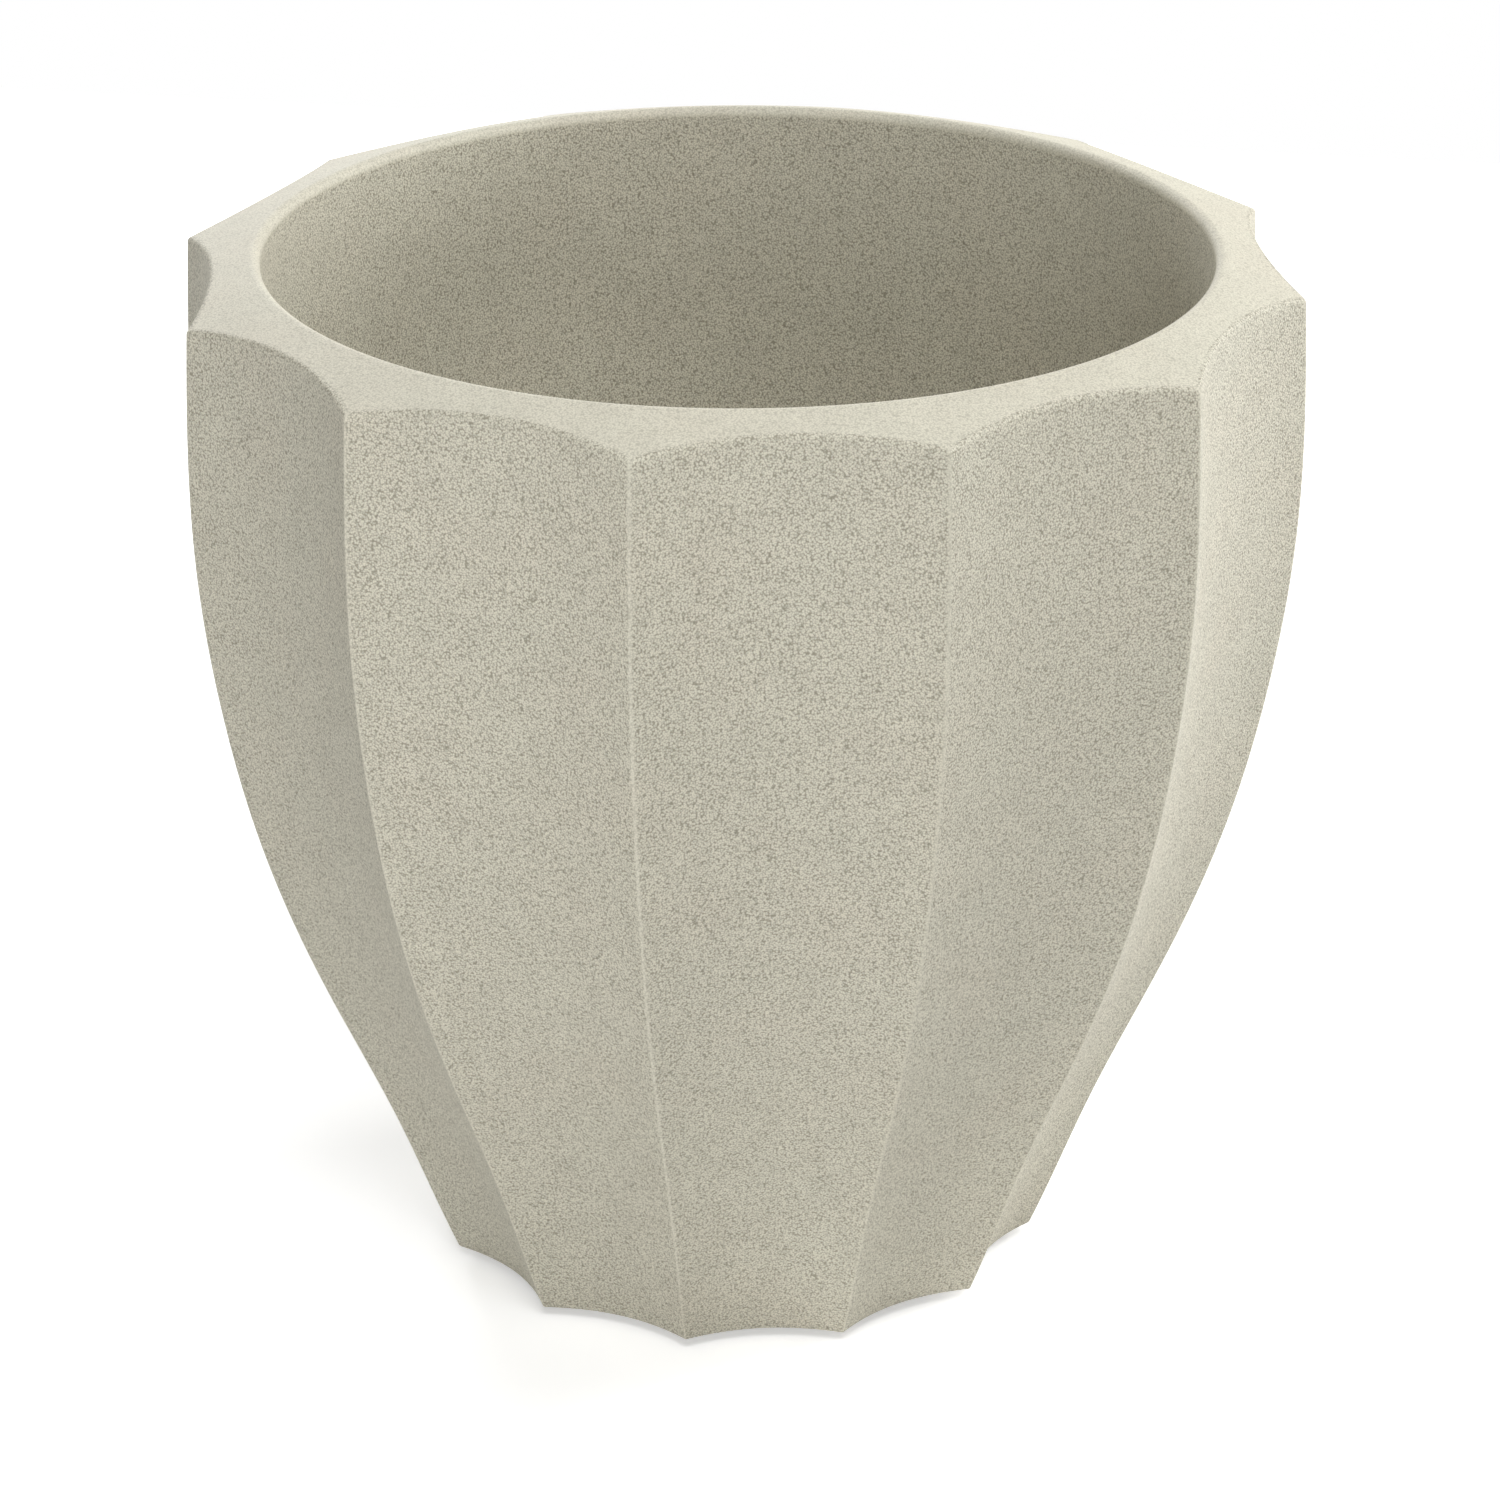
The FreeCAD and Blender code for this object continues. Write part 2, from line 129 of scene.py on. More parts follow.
@dataclass(frozen=True)
class CastStone:
    """Cement and sand cast in a mould: sandy walls with small pits, a smoother rim, and smoother
    ridges whose paler crests are a painted highlight line.
    """

    cement: str = "#D9D5C4"
    gap: str = "#979281"
    pit: str = "#7A7565"
    warm_tint: str = "#DDD1BF"
    cool_tint: str = "#D3D4C3"
    # Sand of this grit is finer than a pixel, so it is drawn a little coarser than it is.
    grain_mm: float = 0.7
    pit_mm: float = 1.5
    cloud_mm: float = 14.0
    tint_mm: float = 36.0
    relief_mm: float = 0.25
    roughness: float = 0.72
    ior: float = 1.5
    tint_share: float = 0.15
    pit_share: float = 0.4
    # Share of the grain that is left on smooth stone, and strength of the relief on both; the
    # thinner grain on the ridges paints a pale highlight line.
    smooth_grain: float = 0.5
    sandy_relief: float = 0.6
    smooth_relief: float = 0.3

    def material(self) -> bpy.types.Material:
        """Build the stone, whose grain, pits and clouds all run through the solid.

        Returns:
            The material.
        """
        stone, tree = blank_material("cast_stone")
        where = add(tree, "ShaderNodeTexCoord").outputs["Object"]
        smooth = add(tree, "ShaderNodeAttribute", attribute_name=SMOOTHNESS_AND_HIGHLIGHT).outputs["Fac"]
        cloud = add(tree, "ShaderNodeTexNoise", {
            "Vector": where, "Scale": PER_METRE / self.cloud_mm,
            "Detail": 4.0, "Roughness": 0.6}).outputs["Fac"]
        tint = add(tree, "ShaderNodeTexNoise", {
            "Vector": where, "Scale": PER_METRE / self.tint_mm,
            "Detail": 2.0, "Roughness": 0.5}).outputs["Fac"]
        sand = add(tree, "ShaderNodeTexVoronoi", {
            "Vector": where, "Scale": PER_METRE / self.grain_mm}).outputs["Distance"]
        pits = add(tree, "ShaderNodeTexNoise", {
            "Vector": where, "Scale": PER_METRE / self.pit_mm,
            "Detail": 2.0, "Roughness": 0.6}).outputs["Fac"]
        # Large faint patches lean towards pink in one place and green in another.
        warm = add(tree, "ShaderNodeMapRange", {
            "Value": tint, "From Min": 0.52, "From Max": 0.72,
            "To Min": 0.0, "To Max": self.tint_share}).outputs[0]
        cool = add(tree, "ShaderNodeMapRange", {
            "Value": tint, "From Min": 0.3, "From Max": 0.48,
            "To Min": self.tint_share, "To Max": 0.0}).outputs[0]
        warmed = add(tree, "ShaderNodeMix", {
            "Factor": warm, COLOUR_A: linear(self.cement), COLOUR_B: linear(self.warm_tint)},
            data_type="RGBA").outputs[COLOUR]
        tinted = add(tree, "ShaderNodeMix", {
            "Factor": cool, COLOUR_A: warmed, COLOUR_B: linear(self.cool_tint)},
            data_type="RGBA").outputs[COLOUR]
        # Dark gaps between the pale grains of sand, and pits, both fainter on smooth stone; on the
        # ridge crests this paints a pale highlight line.
        faint = add(tree, "ShaderNodeMapRange", {
            "Value": smooth, "To Min": 1.0, "To Max": self.smooth_grain}).outputs[0]
        gap = add(tree, "ShaderNodeMapRange", {
            "Value": sand, "From Min": 0.3, "From Max": 0.85,
            "To Min": 0.0, "To Max": 1.0}).outputs[0]
        gap_share = add(tree, "ShaderNodeMath", {0: gap, 1: faint}, operation="MULTIPLY").outputs[0]
        grainy = add(tree, "ShaderNodeMix", {
            "Factor": gap_share, COLOUR_A: tinted, COLOUR_B: linear(self.gap)},
            data_type="RGBA").outputs[COLOUR]
        pit = add(tree, "ShaderNodeMapRange", {
            "Value": pits, "From Min": 0.28, "From Max": 0.44,
            "To Min": self.pit_share, "To Max": 0.0}).outputs[0]
        pit_share = add(tree, "ShaderNodeMath", {0: pit, 1: faint}, operation="MULTIPLY").outputs[0]
        pitted = add(tree, "ShaderNodeMix", {
            "Factor": pit_share, COLOUR_A: grainy, COLOUR_B: linear(self.pit)},
            data_type="RGBA").outputs[COLOUR]
        shade = add(tree, "ShaderNodeMapRange", {
            "Value": cloud, "From Min": 0.3, "From Max": 0.7,
            "To Min": 0.96, "To Max": 1.03}).outputs[0]
        clouded = add(tree, "ShaderNodeMix", {
            "Factor": 1.0, COLOUR_A: pitted, COLOUR_B: shade},
            data_type="RGBA", blend_type="MULTIPLY").outputs[COLOUR]
        # The same grains stand proud, and the gaps and pits lie deep.
        height = add(tree, "ShaderNodeMath", {0: pits, 1: sand}, operation="SUBTRACT").outputs[0]
        push = add(tree, "ShaderNodeMapRange", {
            "Value": smooth, "To Min": self.sandy_relief, "To Max": self.smooth_relief}).outputs[0]
        relief = add(tree, "ShaderNodeBump", {
            "Strength": push, "Distance": self.relief_mm / PER_METRE, "Height": height}).outputs[0]
        shader = add(tree, "ShaderNodeBsdfPrincipled", {
            "Base Color": clouded, "Roughness": self.roughness,
            "IOR": self.ior, "Normal": relief}).outputs[0]
        add(tree, "ShaderNodeOutputMaterial", {"Surface": shader})
        return stone


@dataclass(frozen=True)
class MouldedPlastic:
    """Dark grey polypropylene, moulded with a fine spark-eroded texture that dulls its shine."""

    colour: str = "#4A4B4C"
    worn: str = "#5E5F5F"
    texture_mm: float = 0.8
    scuff_mm: float = 9.0
    relief_mm: float = 0.05
    ior: float = 1.49

    def material(self) -> bpy.types.Material:
        """Build the plastic with its eroded texture and faint scuffs.

        Returns:
            The material.
        """
        plastic, tree = blank_material("moulded_polypropylene")
        where = add(tree, "ShaderNodeTexCoord").outputs["Object"]
        grain = add(tree, "ShaderNodeTexNoise", {
            "Vector": where, "Scale": PER_METRE / self.texture_mm, "Detail": 2.0}).outputs["Fac"]
        scuff = add(tree, "ShaderNodeTexNoise", {
            "Vector": where, "Scale": PER_METRE / self.scuff_mm,
            "Detail": 5.0, "Roughness": 0.65}).outputs["Fac"]
        share = add(tree, "ShaderNodeMapRange", {
            "Value": scuff, "From Min": 0.45, "From Max": 0.75,
            "To Min": 0.0, "To Max": 0.6}).outputs[0]
        colour = add(tree, "ShaderNodeMix", {
            "Factor": share, COLOUR_A: linear(self.colour), COLOUR_B: linear(self.worn)},
            data_type="RGBA").outputs[COLOUR]
        dull = add(tree, "ShaderNodeMapRange", {
            "Value": scuff, "From Min": 0.3, "From Max": 0.7,
            "To Min": 0.45, "To Max": 0.6}).outputs[0]
        relief = add(tree, "ShaderNodeBump", {
            "Strength": 0.5, "Distance": self.relief_mm / PER_METRE, "Height": grain}).outputs[0]
        shader = add(tree, "ShaderNodeBsdfPrincipled", {
            "Base Color": colour, "Roughness": dull, "IOR": self.ior, "Normal": relief}).outputs[0]
        add(tree, "ShaderNodeOutputMaterial", {"Surface": shader})
        return plastic


@dataclass(frozen=True)
class MouldedRubber:
    """Black nitrile rubber with a matt moulded skin and a little pale bloom."""

    colour: str = "#242423"
    bloom: str = "#3A3A38"
    bloom_mm: float = 6.0
    texture_mm: float = 0.6
    relief_mm: float = 0.06
    roughness: float = 0.75
    ior: float = 1.52

    def material(self) -> bpy.types.Material:
        """Build the rubber with its bloom and matt skin.

        Returns:
            The material.
        """
        rubber, tree = blank_material("nitrile_rubber")
        where = add(tree, "ShaderNodeTexCoord").outputs["Object"]
        haze = add(tree, "ShaderNodeTexNoise", {
            "Vector": where, "Scale": PER_METRE / self.bloom_mm,
            "Detail": 4.0, "Roughness": 0.6}).outputs["Fac"]
        skin = add(tree, "ShaderNodeTexNoise", {
            "Vector": where, "Scale": PER_METRE / self.texture_mm, "Detail": 1.0}).outputs["Fac"]
        share = add(tree, "ShaderNodeMapRange", {
            "Value": haze, "From Min": 0.4, "From Max": 0.75,
            "To Min": 0.0, "To Max": 0.7}).outputs[0]
        colour = add(tree, "ShaderNodeMix", {
            "Factor": share, COLOUR_A: linear(self.colour), COLOUR_B: linear(self.bloom)},
            data_type="RGBA").outputs[COLOUR]
        relief = add(tree, "ShaderNodeBump", {
            "Strength": 0.4, "Distance": self.relief_mm / PER_METRE, "Height": skin}).outputs[0]
        shader = add(tree, "ShaderNodeBsdfPrincipled", {
            "Base Color": colour, "Roughness": self.roughness,
            "IOR": self.ior, "Normal": relief}).outputs[0]
        add(tree, "ShaderNodeOutputMaterial", {"Surface": shader})
        return rubber


@dataclass(frozen=True)
class Corner:
    """One corner of an outline, the finish of the stone there and the arc that rounds it."""

    point: Vector
    finish: Finish = Finish.SANDY
    radius: float = 0.0
    spans: int = 0

    def rounded(self, before: Vector, after: Vector) -> list[Vector]:
        """Points of the arc that rounds the corner.

        Args:
            before: Point that the outline comes from.
            after: Point that the outline goes on to.

        Returns:
            Points of the arc in order, or the corner alone if it has no radius.
        """
        if not self.radius:
            return [self.point]
        back, ahead = (before - self.point).normalized(), (after - self.point).normalized()
        half = back.angle(ahead) / 2
        reach = self.radius / math.tan(half)
        centre = self.point + (back + ahead).normalized() * (self.radius / math.sin(half))
        start = self.point + back * reach - centre
        end = self.point + ahead * reach - centre
        sweep = start.angle(end)
        points = []
        for step in range(self.spans + 1):
            turn = sweep * step / self.spans
            spoke = (start * math.sin(sweep - turn) + end * math.sin(turn)) / math.sin(sweep)
            points.append(centre + spoke)
        return points


def arc(centre: Vector, radius: float, start: float, end: float, spans: int) -> list[Vector]:
    """Points along an arc.

    Args:
        centre: Centre of the arc.
        radius: Its radius.
        start: Angle of its first point in radians.
        end: Angle of its last point.
        spans: Number of spans along it.

    Returns:
        Points in order, both ends included.
    """
    angles = [start + (end - start) * step / spans for step in range(spans + 1)]
    return [centre + Vector((math.cos(angle), math.sin(angle))) * radius for angle in angles]


def plain_mesh(piece: bpy.types.Object) -> None:
    """Turn what a piece's modifiers make into its own mesh, and remove them.

    Args:
        piece: Object whose modifiers are taken in.
    """
    bpy.context.view_layer.update()
    graph = bpy.context.evaluated_depsgraph_get()
    made = bpy.data.meshes.new_from_object(piece.evaluated_get(graph), depsgraph=graph)
    piece.modifiers.clear()
    piece.data = made


def node_piece(
    name: str, start: bpy.types.Mesh, tree: bpy.types.NodeTree, sizes: dict
) -> bpy.types.Object:
    """Make a plain mesh piece with a node tree.

    Args:
        name: Name of the piece.
        start: Mesh that the tree starts from.
        tree: The tree.
        sizes: Value of each of the tree's named inputs.

    Returns:
        The finished piece at the origin.
    """
    piece = bpy.data.objects.new(name, start)
    bpy.context.scene.collection.objects.link(piece)
    modifier = piece.modifiers.new(name, "NODES")
    modifier.node_group = tree
    for item in tree.interface.items_tree:
        if item.in_out == "INPUT" and item.name in sizes:
            modifier[item.identifier] = sizes[item.name]
    plain_mesh(piece)
    return piece


def arc_radius(
    tree: bpy.types.NodeTree, bearing: bpy.types.NodeSocket, reach: bpy.types.NodeSocket,
    bend: bpy.types.NodeSocket, side: ArcSide
) -> bpy.types.NodeSocket:
    """Work out in a tree how far from the axis a bearing meets an arc.

    Args:
        tree: Tree that takes the nodes.
        bearing: Angle from the line between the axis and the arc's centre.
        reach: Distance of the arc's centre from the axis.
        bend: Radius of the arc.
        side: Side of the arc that is met.

    Returns:
        The distance from the axis.
    """
    cosine = add(tree, "ShaderNodeMath", {0: bearing}, operation="COSINE").outputs[0]
    sine = add(tree, "ShaderNodeMath", {0: bearing}, operation="SINE").outputs[0]
    ahead = add(tree, "ShaderNodeMath", {0: reach, 1: cosine}, operation="MULTIPLY").outputs[0]
    aside = add(tree, "ShaderNodeMath", {0: reach, 1: sine}, operation="MULTIPLY").outputs[0]
    across = add(tree, "ShaderNodeMath", {0: aside, 1: aside}, operation="MULTIPLY").outputs[0]
    whole = add(tree, "ShaderNodeMath", {0: bend, 1: bend}, operation="MULTIPLY").outputs[0]
    left = add(tree, "ShaderNodeMath", {0: whole, 1: across}, operation="SUBTRACT").outputs[0]
    # A bearing that misses the arc gives no chord.
    kept = add(tree, "ShaderNodeMath", {0: left, 1: 0.0}, operation="MAXIMUM").outputs[0]
    chord = add(tree, "ShaderNodeMath", {0: kept}, operation="SQRT").outputs[0]
    return add(tree, "ShaderNodeMath", {0: ahead, 1: chord}, operation=side.value).outputs[0]


@dataclass
class PotShell:
    """The cast pot: flutes between crisp ridges, a falling rim, a round inside, a stepped drain."""

    stone: bpy.types.Material
    lift: float = 0.004
    height: float = 0.381
    foot_radius: float = 0.1112
    belly_radius: float = 0.203
    flute_count: int = 12
    rim_flute_depth: float = 0.0148
    foot_flute_depth: float = 0.0096
    ridge_round: float = 0.0012
    mouth_radius: float = 0.169
    mouth_depth: float = 0.06
    lip_radius: float = 0.003
    rim_fall: float = math.radians(16)
    rim_edge_round: float = 0.0018
    foot_edge_round: float = 0.002
    floor_radius: float = 0.075
    corner_radius: float = 0.025
    floor_thickness: float = 0.026
    # Radius and height of the seats that the screen and the sleeve's flange lie on.
    screen_recess: tuple[float, float] = (0.0364, 0.023)
    flange_recess: tuple[float, float] = (0.0251, 0.02)
    bore_radius: float = 0.0191
    step_round: float = 0.0006
    pad_count: int = 4
    pad_pitch_radius: float = 0.076
    pad_recess_radius: float = 0.0151
    pad_recess_depth: float = 0.003
    first_pad_angle: float = math.radians(45)
    # Heights up the shell and how far the ridge has swelled from the foot to the belly there.
    height_shares: tuple[float, ...] = (0.0, 0.15, 0.3, 0.45, 0.6, 0.75, 0.86, 1.005)
    swell_shares: tuple[float, ...] = (0.0, 0.246, 0.524, 0.757, 0.906, 0.987, 1.0, 0.98)
    foot_slope: float = 1.8
    # Fineness of the mesh: rows up the wall, columns round it and spans along each arc.
    wall_rows: int = 72
    columns_per_flute: int = 28
    ridge_crowding: float = 2.0
    lip_spans: int = 9
    hollow_spans: int = 28
    corner_spans: int = 10
    edge_spans: int = 5
    step_spans: int = 3
    recess_spans: int = 64
    # Places of the rows across the rim, down the mouth, in over the floor and out under the foot.
    rim_rows: tuple[float, ...] = (0.12, 0.5, 0.95)
    mouth_rows: tuple[float, ...] = (0.94, 0.7, 0.4)
    floor_rows: tuple[float, ...] = (0.8, 0.6)
    under_rows: tuple[float, ...] = (0.35, 0.55, 0.75)
    # Steps in which the rim's edge is found, where its falling face meets the curved wall.
    edge_tries: int = 4
    merge_distance: float = 0.00001
    crease_angle: float = math.radians(40)

    def swell(self, share: float) -> float:
        """How far the outline has swelled at a height, on a smooth curve through the known heights.

        Args:
            share: Height as a share of the shell's.

        Returns:
            Swell from 0 at the foot to 1 at the belly.
        """
        known, values = np.array(self.height_shares), np.array(self.swell_shares)
        # Bends of a cubic spline with a given slope at the foot and no bend at the top.
        steps = np.diff(known)
        slopes = np.diff(values) / steps
        count = len(known)
        rule, right = np.zeros((count, count)), np.zeros(count)
        rule[0, :2], right[0] = (2 * steps[0], steps[0]), 6 * (slopes[0] - self.foot_slope)
        rule[-1, -1] = 1.0
        for row in range(1, count - 1):
            before, after = steps[row - 1], steps[row]
            rule[row, row - 1:row + 2] = before, 2 * (before + after), after
            right[row] = 6 * (slopes[row] - slopes[row - 1])
        bends = np.linalg.solve(rule, right)
        # The cubic of the span that the height lies in.
        span = int(min(max(np.searchsorted(known, share) - 1, 0), count - 2))
        ahead, behind, step = known[span + 1] - share, share - known[span], steps[span]
        curve = (bends[span] * ahead**3 + bends[span + 1] * behind**3) / (6 * step)
        curve += (values[span] / step - bends[span] * step / 6) * ahead
        return float(curve + (values[span + 1] / step - bends[span + 1] * step / 6) * behind)

    def wall(self, up: float, depth_share: float) -> Vector:
        """Point of the outside.

        Args:
            up: Height above the foot.
            depth_share: 0 at a ridge, 1 at the middle of a flute.

        Returns:
            Radius and height.
        """
        swell = self.swell(up / self.height)
        ridge = self.foot_radius + (self.belly_radius - self.foot_radius) * swell
        depth = self.foot_flute_depth + (self.rim_flute_depth - self.foot_flute_depth) * swell
        return Vector((ridge - depth * depth_share, up))

    def outside(self, edge: Vector, depth_share: float) -> list[Corner]:
        """Outline of the wall from the foot's edge up to the rim's.

        Args:
            edge: Where the wall meets the rim.
            depth_share: 0 for a ridge, 1 for the middle of a flute.

        Returns:
            Corners in order.
        """
        ups = [edge.y * row / self.wall_rows for row in range(1, self.wall_rows)]
        foot = self.wall(0, depth_share)
        return [
            Corner(foot, radius=self.foot_edge_round, spans=self.edge_spans),
            *(Corner(self.wall(up, depth_share)) for up in ups),
            Corner(edge, radius=self.rim_edge_round, spans=self.edge_spans),
        ]

    def inside(self) -> list[Corner]:
        """Outline of the mouth, the hollow that curves in below it and the floor.

        Returns:
            Corners in order.
        """
        straight = self.height - self.mouth_depth
        rise = straight - self.floor_thickness - self.corner_radius
        run = self.mouth_radius - self.floor_radius
        sweep = (run**2 + rise**2 - self.corner_radius**2) / (2 * (run - self.corner_radius))
        lean = math.atan2(rise, sweep - run)
        centre = Vector((self.mouth_radius - sweep, straight))
        corner = Vector((self.floor_radius, self.floor_thickness + self.corner_radius))
        points = [
            Vector((self.mouth_radius, straight + self.mouth_depth * share))
            for share in self.mouth_rows]
        points += arc(centre, sweep, 0, -lean, self.hollow_spans)
        points += arc(corner, self.corner_radius, -lean, -math.pi / 2, self.corner_spans)[1:]
        points += [
            Vector((self.floor_radius * share, self.floor_thickness)) for share in self.floor_rows]
        return [Corner(point) for point in points]

    def drain(self) -> list[Corner]:
        """Outline of the stepped drain, from the floor down to the foot.

        Returns:
            Corners in order.
        """
        (screen, screen_seat), (flange, flange_seat) = self.screen_recess, self.flange_recess
        steps = [
            (screen, self.floor_thickness), (screen, screen_seat),
            (flange, screen_seat), (flange, flange_seat),
            (self.bore_radius, flange_seat), (self.bore_radius, 0.0)]
        return [
            Corner(Vector(step), radius=self.step_round, spans=self.step_spans) for step in steps]

    def outline(self, depth_share: float) -> tuple[list[Vector], list[float]]:
        """Closed outline of the shell in an upright plane through a ridge or a flute's middle.

        Args:
            depth_share: 0 for a ridge, 1 for the middle of a flute.

        Returns:
            Points of radius and height, and how smooth the stone is at each.
        """
        lip_centre = Vector((self.mouth_radius + self.lip_radius, self.height - self.lip_radius))
        lip_start = math.pi / 2 - self.rim_fall
        lip = arc(lip_centre, self.lip_radius, lip_start, math.pi, self.lip_spans)
        crest, edge = lip[0], self.wall(self.height, depth_share)
        for _ in range(self.edge_tries):
            drop = (edge.x - crest.x) * math.tan(self.rim_fall)
            edge = self.wall(crest.y - drop, depth_share)
        rim = [edge.lerp(crest, share) for share in self.rim_rows] + lip
        corners = [
            *self.outside(edge, depth_share),
            *(Corner(point, Finish.SMOOTH) for point in rim),
            *self.inside(),
            *self.drain(),
            *(Corner(Vector((self.foot_radius * share, 0.0))) for share in self.under_rows),
        ]
        points, smoothness = [], []
        for place, corner in enumerate(corners):
            before, after = corners[place - 1].point, corners[(place + 1) % len(corners)].point
            rounded = corner.rounded(before, after)
            points += rounded
            smoothness += [corner.finish.value] * len(rounded)
        return points, smoothness

    def outlines(self) -> bpy.types.Mesh:
        """Mesh of loose points that the node tree sweeps round the pot.

        Returns:
            The ridge's outline, with the flute's and the smoothness as attributes.
        """
        ridge, smoothness = self.outline(0.0)
        flute, _ = self.outline(1.0)
        mesh = bpy.data.meshes.new("shell_outlines")
        mesh.from_pydata([(point.x, 0.0, point.y + self.lift) for point in ridge], [], [])
        valley = mesh.attributes.new(FLUTE_OUTLINE, "FLOAT_VECTOR", "POINT")
        valley.data.foreach_set(
            "vector", [number for p in flute for number in (p.x, 0.0, p.y + self.lift)])
        finish = mesh.attributes.new(SMOOTHNESS_AND_HIGHLIGHT, "FLOAT", "POINT")
        finish.data.foreach_set("value", smoothness)
        return mesh

    def scallop_sizes(self) -> dict[str, float]:
        """Sizes of the arcs that make up a section across the belly, where all are tangent.

        Returns:
            Each size by the name of its input.
        """
        half_pitch = math.pi / self.flute_count
        across, along = math.sin(half_pitch), math.cos(half_pitch)
        ridge_reach = self.belly_radius - self.ridge_round
        valley_reach = ridge_reach - self.rim_flute_depth
        fall = ridge_reach * along - valley_reach
        flute_reach = (ridge_reach**2 - valley_reach**2) / (2 * fall)
        lean = math.atan2(flute_reach * across, flute_reach * along - ridge_reach)
        touch_along = ridge_reach + self.ridge_round * math.cos(lean)
        touch_across = self.ridge_round * math.sin(lean)
        return {
            "Ridge Radius": self.belly_radius,
            "Flute Depth": self.rim_flute_depth,
            "Ridge Round": self.ridge_round,
            "Ridge Reach": ridge_reach,
            "Flute Reach": flute_reach,
            "Flute Round": flute_reach - valley_reach - self.ridge_round,
            "Ridge Half Angle": math.atan2(touch_across, touch_along),
            "Ridge Crowding": self.ridge_crowding,
        }

    def recess_sizes(self) -> dict[str, float]:
        """Sizes and places of the recesses that the foot pads are bonded into.

        Returns:
            Each size by the name of its input.
        """
        return {
            "Pad Pitch Radius": self.pad_pitch_radius,
            "First Pad Angle": self.first_pad_angle,
            "Recess Radius": self.pad_recess_radius,
            "Recess Depth": self.pad_recess_depth,
            "Foot Height": self.lift,
        }

    def counts(self) -> dict[str, int]:
        """Numbers of flutes, columns and pads, each by the name of its input."""
        return {
            "Flute Count": self.flute_count,
            "Columns Per Flute": self.columns_per_flute,
            "Pad Count": self.pad_count,
        }

    def named_inputs(self, tree: bpy.types.NodeTree) -> dict[str, bpy.types.NodeSocket]:
        """Give the tree its named inputs and its one output.

        Args:
            tree: The new tree.

        Returns:
            Each input's socket by its name.
        """
        kinds = {"Geometry": "NodeSocketGeometry"}
        kinds |= dict.fromkeys(self.counts(), "NodeSocketInt")
        kinds |= dict.fromkeys(self.scallop_sizes() | self.recess_sizes(), "NodeSocketFloat")
        kinds["Stone"] = "NodeSocketMaterial"
        for name, kind in kinds.items():
            tree.interface.new_socket(name, in_out="INPUT", socket_type=kind)
        tree.interface.new_socket("Geometry", in_out="OUTPUT", socket_type="NodeSocketGeometry")
        sockets = add(tree, "NodeGroupInput").outputs
        return {name: sockets[name] for name in kinds}

    def swept(
        self, tree: bpy.types.NodeTree, given: dict[str, bpy.types.NodeSocket]
    ) -> bpy.types.NodeSocket:
        """Sweep the two outlines round the pot, mixed by the scalloped section.

        Args:
            tree: Tree that takes the nodes.
            given: Its inputs by name.

        Returns:
            The swept grid, whose ends meet but aren't joined yet.
        """
        outlines = given["Geometry"]
        rows = add(tree, "GeometryNodeAttributeDomainSize", {
            0: outlines}, component="MESH").outputs[0]
        columns = add(tree, "ShaderNodeMath", {
            0: given["Flute Count"], 1: given["Columns Per Flute"]},
            operation="MULTIPLY").outputs[0]
        around = add(tree, "ShaderNodeMath", {0: columns, 1: 1.0}, operation="ADD").outputs[0]
        along = add(tree, "ShaderNodeMath", {0: rows, 1: 1.0}, operation="ADD").outputs[0]
        grid = add(tree, "GeometryNodeMeshGrid", {
            "Vertices X": around, "Vertices Y": along}).outputs[0]
        index = add(tree, "GeometryNodeInputIndex").outputs[0]
        turn = add(tree, "ShaderNodeMath", {0: index, 1: along}, operation="DIVIDE").outputs[0]
        column = add(tree, "ShaderNodeMath", {0: turn}, operation="FLOOR").outputs[0]
        spread = add(tree, "ShaderNodeMath", {
            0: index, 1: along}, operation="FLOORED_MODULO").outputs[0]
        row = add(tree, "ShaderNodeMath", {
            0: spread, 1: rows}, operation="FLOORED_MODULO").outputs[0]
        # Columns crowd towards the ridges, where the section bends most.
        flute = add(tree, "ShaderNodeMath", {
            0: column, 1: given["Columns Per Flute"]}, operation="DIVIDE").outputs[0]
        number = add(tree, "ShaderNodeMath", {0: flute}, operation="FLOOR").outputs[0]
        share = add(tree, "ShaderNodeMath", {0: flute}, operation="FRACT").outputs[0]
        side = add(tree, "ShaderNodeMath", {
            0: share, 1: 2.0, 2: -1.0}, operation="MULTIPLY_ADD").outputs[0]
        far = add(tree, "ShaderNodeMath", {0: side}, operation="ABSOLUTE").outputs[0]
        hand = add(tree, "ShaderNodeMath", {0: side}, operation="SIGN").outputs[0]
        near = add(tree, "ShaderNodeMath", {0: 1.0, 1: far}, operation="SUBTRACT").outputs[0]
        crowded = add(tree, "ShaderNodeMath", {
            0: near, 1: given["Ridge Crowding"]}, operation="POWER").outputs[0]
        half_pitch = add(tree, "ShaderNodeMath", {
            0: math.pi, 1: given["Flute Count"]}, operation="DIVIDE").outputs[0]
        from_ridge = add(tree, "ShaderNodeMath", {
            0: crowded, 1: half_pitch}, operation="MULTIPLY").outputs[0]
        from_middle = add(tree, "ShaderNodeMath", {
            0: half_pitch, 1: from_ridge}, operation="SUBTRACT").outputs[0]
